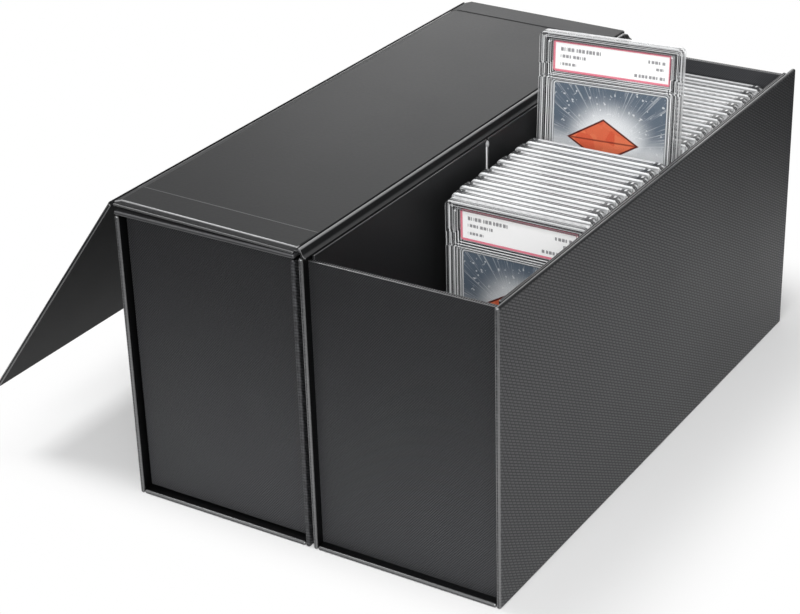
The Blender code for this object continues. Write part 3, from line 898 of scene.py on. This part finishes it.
class CARDCASE_OT_boards(CaseOperator, bpy.types.Operator):
    """Wrapped boards of both trays."""

    bl_idname = "card_case.boards"
    bl_label = "Tray Boards"

    def execute(self, context):
        boards = settings("boards")
        seal = 0.00025
        for side in ("right", "left"):
            walls = ("hinge_wall", "outer_wall") if side == "right" else ("outer_wall", "inner_wall")
            middle = box_centre(side + "_base_board").x
            for wall in walls:
                node = f"{side}_{wall}"
                extra = ("wall_magnet_near", "wall_magnet_far") if node == "right_outer_wall" else ()
                inside = (math.copysign(1, middle - box_centre(node).x), 0, 0)
                # The left tray's inner wall gets only a faint painted edge highlight.
                edge_highlight = 0.15 if wall == "inner_wall" else 1.0
                wrapped_board(node, "long_wall", boards.wall_round, extra=extra, inside=inside, edge_highlight=edge_highlight)
            node = side + "_base_board"
            wrapped_board(node, "flat_board", boards.wall_round, grow=(seal, 0, 0), inside=(0, 0, 1))
            for end in ("near", "far"):
                corner = boards.panel_corner if side == "left" else boards.panel_corner * 0.2
                groove = boards.panel_groove if side == "left" else -seal
                end_panel(f"{side}_{end}_end_panel", groove, corner)
        return {"FINISHED"}


class CARDCASE_OT_liners(CaseOperator, bpy.types.Operator):
    """Smooth liner panels on the long walls and the floors."""

    bl_idname = "card_case.liners"
    bl_label = "Liners"

    def execute(self, context):
        boards = settings("boards")
        names = [f"right_{wall}_liner_{end}" for wall in ("hinge", "outer") for end in ("near", "far")]
        names += ["left_outer_liner", "left_inner_liner", "right_floor_liner", "left_floor_liner"]
        for name in names:
            wrapped_board(name, "tray_lining", boards.liner_round)
        joint_glint_bead()
        return {"FINISHED"}


class CARDCASE_OT_rails(CaseOperator, bpy.types.Operator):
    """Frame of thin rounded rails on the left tray's rim."""

    bl_idname = "card_case.rails"
    bl_label = "Rim Rails"

    def execute(self, context):
        boards = settings("boards")
        for place in ("near", "far", "outer", "inner"):
            # The rails get a half-strength painted edge highlight.
            wrapped_board(f"left_{place}_rail", "rail", boards.rail_round, edge_highlight=0.5)
        return {"FINISHED"}


class CARDCASE_OT_lid(CaseOperator, bpy.types.Operator):
    """Turned-over lid: its board below and its smooth lining above."""

    bl_idname = "card_case.lid"
    bl_label = "Lid"

    def execute(self, context):
        cover = settings("cover")
        low, high = level_lid()
        split = high.z - cover.lining_thickness
        half = (split - low.z) * 0.48
        # The lid board's edges get a faint painted highlight.
        board = round_all(block(low, (high.x, high.y, split)), min(cover.lid_round, half), edge_highlight=0.45)
        stand("finished_lid_board", board, "web", "lid", ("lid_board",), lid_turn())
        inset = cover.lining_inset
        lining_low = (low.x + inset, low.y + inset, split - 0.0002)
        lining = block(lining_low, (high.x + cover.lining_reach, high.y - inset, high.z))
        for end in (-1, 1):
            edge = end * (high.y - cover.seam_distance)
            for offset in (-0.0010, 0.0, 0.0010):
                bmesh.ops.bisect_plane(
                    lining,
                    geom=lining.verts[:] + lining.edges[:] + lining.faces[:],
                    plane_co=(0, edge + offset, 0),
                    plane_no=(0, 1, 0),
                )
        reach = high.y - cover.seam_distance
        slope = low.x + cover.lining_slope
        cuts = [((high.x, 0, 0), (1, 0, 0)), ((slope, 0, 0), (1, 0, 0))]
        cuts += [((0, end * (high.y - 0.0030), 0), (0, 1, 0)) for end in (-1, 1)]
        for place, normal in cuts:
            bmesh.ops.bisect_plane(
                lining,
                geom=lining.verts[:] + lining.edges[:] + lining.faces[:],
                plane_co=place,
                plane_no=normal,
            )
        outline = [e for e in lining.edges if not e.is_manifold or e.calc_face_angle(0) > 1.0]
        mark_edge_highlight(lining, bevel(lining, outline, 0.0007, 3))
        # Painted highlight on the lining: none over the hinge web, faint on the seam ridges, light on the lower
        # rounding.
        edge = lining.verts.layers.float["edge"]
        for vert in lining.verts:
            if vert.co.x > high.x + 0.0004 and abs(vert.co.y) < high.y - 0.0020:
                vert[edge] = 0.0
            elif vert.co.z > high.z - 0.00001 and abs(abs(vert.co.y) - reach) < 0.0002:
                vert[edge] = 0.06
            elif vert.co.z < high.z - 0.0005:
                vert[edge] = 0.16
        for vert in lining.verts:
            if vert.co.z > high.z - 0.00001 and abs(vert.co.y) < reach + 0.0001:
                vert.co.z -= cover.seam_depth
        for vert in lining.verts:
            if vert.co.x < slope - 0.0001 and vert.co.z > low.z + 0.0020:
                vert.co.z -= 0.0016 * min(1.0, (slope - vert.co.x) / (cover.lining_slope - inset))
        stand("finished_lid_lining", lining, "cover_lining", "lid", ("lid_lining",), lid_turn())
        return {"FINISHED"}


class CARDCASE_OT_hinge_web(CaseOperator, bpy.types.Operator):
    """Flexible strip from the lid's edge over the gap to the hinge wall's rim."""

    bl_idname = "card_case.hinge_web"
    bl_label = "Hinge Web"

    def execute(self, context):
        low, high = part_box("hinge_web")
        made = strip(WEB_PROFILE, low.y, high.y)
        bmesh.ops.bisect_plane(
            made,
            geom=made.verts[:] + made.edges[:] + made.faces[:],
            plane_co=(0, high.y - 0.005, 0),
            plane_no=(0, 1, 0),
        )
        for vert in made.verts:
            if vert.co.y > high.y - 0.001 and vert.co.z > 0.1515:
                vert.co.z -= (vert.co.z - 0.1515) * 0.5
        ends = [e for e in made.edges if abs(e.verts[0].co.y - e.verts[1].co.y) < 0.001]
        mark_edge_highlight(made, bevel(made, ends, 0.00045, 2))
        edge = made.verts.layers.float["edge"]
        # Painted highlight: full on the web's crest, faint on the sloping strip beside it.
        for vert in made.verts:
            crest = math.hypot(vert.co.x - WEB_CREST[0], vert.co.z - WEB_CREST[1])
            slope_highlight = 0.14 if vert.co.x > -0.0471 and vert.co.z > 0.1509 else 0.0
            vert[edge] = max(vert[edge], slope_highlight, 1.0 if crest < 0.0006 else 0.0)
        piece = stand("finished_hinge_web", made, "web", None, ("hinge_web",))
        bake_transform(piece, "case", "lid", start=(-0.0459, 0, HINGE.z), end=(-0.0520, 0, HINGE.z))
        return {"FINISHED"}


class CARDCASE_OT_flap(CaseOperator, bpy.types.Operator):
    """Hanging flap with its lining, and the strip it bends on."""

    bl_idname = "card_case.flap"
    bl_label = "Flap"

    def execute(self, context):
        cover = settings("cover")
        low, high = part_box("flap_board")
        turn = Matrix.Translation(FLAP_AXIS) @ Matrix.Rotation(-FLAP_DROP, 4, "Y")
        setback = 0.0010
        length_x = 0.1457
        half = 0.0011
        board = block((-setback - length_x, low.y, -half), (-setback, high.y, half - 0.0004))
        round_all(board, cover.flap_round)
        nodes = ("flap_board", "flap_magnet_near", "flap_magnet_far")
        stand("finished_flap_board", board, "cover_wrap", "flap", nodes, turn)
        margin = 0.0010
        lining = block(
            (-setback - length_x + margin, low.y + margin, half - 0.0008),
            (-setback, high.y - margin, half),
        )
        round_all(lining, 0.0003, 2)
        stand("finished_flap_lining", lining, "cover_lining", "flap", ("flap_lining",), turn)
        web_low, web_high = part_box("flap_web")
        profile = (
            (-0.15220, 0.15375), (-0.15215, 0.15590), (-0.1527, 0.15580), (-0.1533, 0.15555),
            (-0.1539, 0.15515), (-0.15445, 0.15450), (-0.1536, 0.15370), (-0.1529, 0.15370),
        )
        made = strip(profile, low.y, high.y)
        piece = stand("finished_flap_web", made, "web", None, ("flap_web",))
        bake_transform(piece, "lid", "flap", start=(-0.1525, 0, 0.1552), end=(-0.1541, 0, 0.1542))
        return {"FINISHED"}


class CARDCASE_OT_detailed_slabs(CaseOperator, bpy.types.Operator):
    """Front slab and drawn-up slab, with their label and card."""

    bl_idname = "card_case.detailed_slabs"
    bl_label = "Detailed Slabs"

    def execute(self, context):
        sizes = slab_sizes()
        front = Matrix.Translation((0, sizes["middle"], sizes["foot"]))
        detailed_slab("front_slab", "case", front)
        detailed_slab("raised_slab", "raised_slab", raised_turn())
        return {"FINISHED"}


class CARDCASE_OT_stacked_slabs(CaseOperator, bpy.types.Operator):
    """Slabs of both groups that show only their edges."""

    bl_idname = "card_case.stacked_slabs"
    bl_label = "Stacked Slabs"

    def execute(self, context):
        for node in sorted(frame["nodes"]):
            if node.startswith(("near_slab", "far_slab")):
                stacked_slab(node)
        return {"FINISHED"}


class CARDCASE_OT_stage(CaseOperator, bpy.types.Operator):
    """Pale floor, soft lamps and the camera at the photograph's angle."""

    bl_idname = "card_case.stage"
    bl_label = "Stage"

    def execute(self, context):
        studio = settings("studio")
        context.scene.view_settings.view_transform = "Standard"
        make_floor(studio)
        make_surround(context, studio)
        make_lamp("left_lamp", (-0.95, -0.15, 1.35), 0.60, studio.left_lamp)
        make_lamp("rear_lamp", (0.25, 1.50, 1.05), 0.50, studio.rear_lamp)
        make_lamp("low_lamp", (-0.90, 1.50, 0.62), 0.60, studio.low_lamp)
        make_lamp("side_lamp", (1.00, -0.60, 0.80), 0.80, studio.side_lamp)
        make_lamp("front_lamp", (0.50, -1.60, 1.10), 1.20, studio.front_lamp)
        make_camera(context, studio)
        return {"FINISHED"}


def make_floor(studio):
    made = bmesh.new()
    bmesh.ops.create_grid(made, x_segments=1, y_segments=1, size=6.0)
    mesh = bpy.data.meshes.new("floor")
    made.to_mesh(mesh)
    made.free()
    finish = Finish("pale_floor")
    grain = finish.noise(finish.place(), 3.0)
    tone = finish.mix(grain * 0.05, studio.floor, (0.9, 0.9, 0.9))
    finish.surface(Base_Color=tone, Roughness=0.7, Specular_IOR_Level=0.1)
    place = finish.place()
    beside = (finish.along(place, (1, 0, 0)) - 0.02) * 0.75
    before = finish.along(place, (0, 1, 0)) + 0.02
    far = ((beside * beside + before * before) ** 0.5).rise(0.24, 0.50)
    seen = finish.node("ShaderNodeLightPath", output="Is Camera Ray")
    glossy = finish.node("ShaderNodeLightPath", output="Is Glossy Ray")
    through = finish.node("ShaderNodeLightPath", output="Is Transmission Ray")
    white = finish.node("ShaderNodeEmission", values={"Color": (1, 1, 1, 1), "Strength": 1.0})
    dim = finish.node("ShaderNodeEmission", values={"Color": (1, 1, 1, 1), "Strength": studio.pool})
    lit = Socket(finish, finish.shader.outputs[0])
    outside = (abs(finish.along(place, (1, 0, 0)) + 0.071) - 0.121).most(abs(finish.along(place, (0, 1, 0))) - 0.160)
    ahead = -0.150 - finish.along(place, (0, 1, 0))
    clear = outside.rise(0.015, 0.085).most(ahead.rise(0.0, 0.035))
    # Painted light for gloss: past far the floor shows only the pool level, and nearer it gets a white lift that is
    # weaker beside the case, so gloss sees a pool of light round the case.
    lifted = seen.most(through) * (1 - studio.shadow_depth * (1 - clear)) + glossy * (0.15 + clear * 0.72)
    near = finish.node("ShaderNodeMixShader", values={0: lifted, 1: lit, 2: white})
    mixed = finish.node("ShaderNodeMixShader", values={0: glossy * far, 1: near, 2: dim})
    output = finish.tree.nodes["Material Output"]
    finish.tree.links.new(mixed.output, output.inputs["Surface"])
    mesh.materials.append(finish.material)
    floor = bpy.data.objects.new("floor", mesh)
    bpy.context.scene.collection.objects.link(floor)


def make_surround(context, studio):
    """White all round for the camera, gloss and clear parts; softer as light."""
    world = bpy.data.worlds.new("pale_surround")
    world.use_nodes = True
    tree = world.node_tree
    background = tree.nodes["Background"]
    background.inputs["Color"].default_value = (1.0, 1.0, 1.0, 1.0)
    path = tree.nodes.new("ShaderNodeLightPath")
    seen = tree.nodes.new("ShaderNodeMath")
    seen.operation = "MAXIMUM"
    tree.links.new(path.outputs["Is Camera Ray"], seen.inputs[0])
    tree.links.new(path.outputs["Is Transmission Ray"], seen.inputs[1])
    glossy = tree.nodes.new("ShaderNodeMapRange")
    glossy.inputs["To Min"].default_value = studio.surround
    glossy.inputs["To Max"].default_value = studio.gloss_surround
    tree.links.new(path.outputs["Is Glossy Ray"], glossy.inputs["Value"])
    level = tree.nodes.new("ShaderNodeMath")
    level.operation = "MAXIMUM"
    tree.links.new(seen.outputs[0], level.inputs[0])
    tree.links.new(glossy.outputs[0], level.inputs[1])
    tree.links.new(level.outputs[0], background.inputs["Strength"])
    context.scene.world = world


def make_lamp(name, place, size, power):
    light = bpy.data.lights.new(name, "AREA")
    light.shape = "SQUARE"
    light.size = size
    light.energy = power
    lamp = bpy.data.objects.new(name, light)
    lamp.visible_camera = False
    direction = Vector((-0.05, 0, 0.10)) - Vector(place)
    lamp.matrix_world = Matrix.Translation(place) @ direction.to_track_quat("-Z", "Y").to_matrix().to_4x4()
    bpy.context.scene.collection.objects.link(lamp)


def make_camera(context, studio):
    data = bpy.data.cameras.new("camera")
    data.sensor_width = 36.0
    data.lens = studio.lens
    camera = bpy.data.objects.new("camera", data)
    heading = Matrix.Rotation(math.radians(32.57756), 4, "Z")
    pitch = Matrix.Rotation(math.radians(90 - 26.70691), 4, "X")
    roll = Matrix.Rotation(math.radians(-1.75349), 4, "Z")
    camera.matrix_world = Matrix.Translation((0.4216, -0.81652, 0.53106)) @ heading @ pitch @ roll
    context.scene.collection.objects.link(camera)
    context.scene.camera = camera


OPERATORS = (
    CARDCASE_OT_stage,
    CARDCASE_OT_boards,
    CARDCASE_OT_liners,
    CARDCASE_OT_rails,
    CARDCASE_OT_lid,
    CARDCASE_OT_hinge_web,
    CARDCASE_OT_flap,
    CARDCASE_OT_detailed_slabs,
    CARDCASE_OT_stacked_slabs,
)


class CARDCASE_PT_panel(bpy.types.Panel):
    """The steps that dress the case, in order."""

    bl_idname = "CARDCASE_PT_panel"
    bl_label = "Card Case"
    bl_space_type = "VIEW_3D"
    bl_region_type = "UI"
    bl_category = "Card Case"

    def draw(self, context):
        column = self.layout.column()
        for operator in OPERATORS:
            column.operator(operator.bl_idname)
        for group in GROUPS:
            box = column.box()
            values = settings(group)
            for name in values.__annotations__:
                box.prop(values, name)


CLASSES = (*GROUPS.values(), *OPERATORS, CARDCASE_PT_panel)


def register():
    for one in CLASSES:
        bpy.utils.register_class(one)
    for name, group in GROUPS.items():
        pointer = bpy.props.PointerProperty(type=group)
        setattr(bpy.types.Scene, "card_case_" + name, pointer)


def unregister():
    for name in GROUPS:
        delattr(bpy.types.Scene, "card_case_" + name)
    for one in reversed(CLASSES):
        bpy.utils.unregister_class(one)


def main():
    register()
    for operator in OPERATORS:
        group, name = operator.bl_idname.split(".")
        getattr(getattr(bpy.ops, group), name)()


if __name__ == "__main__":
    main()
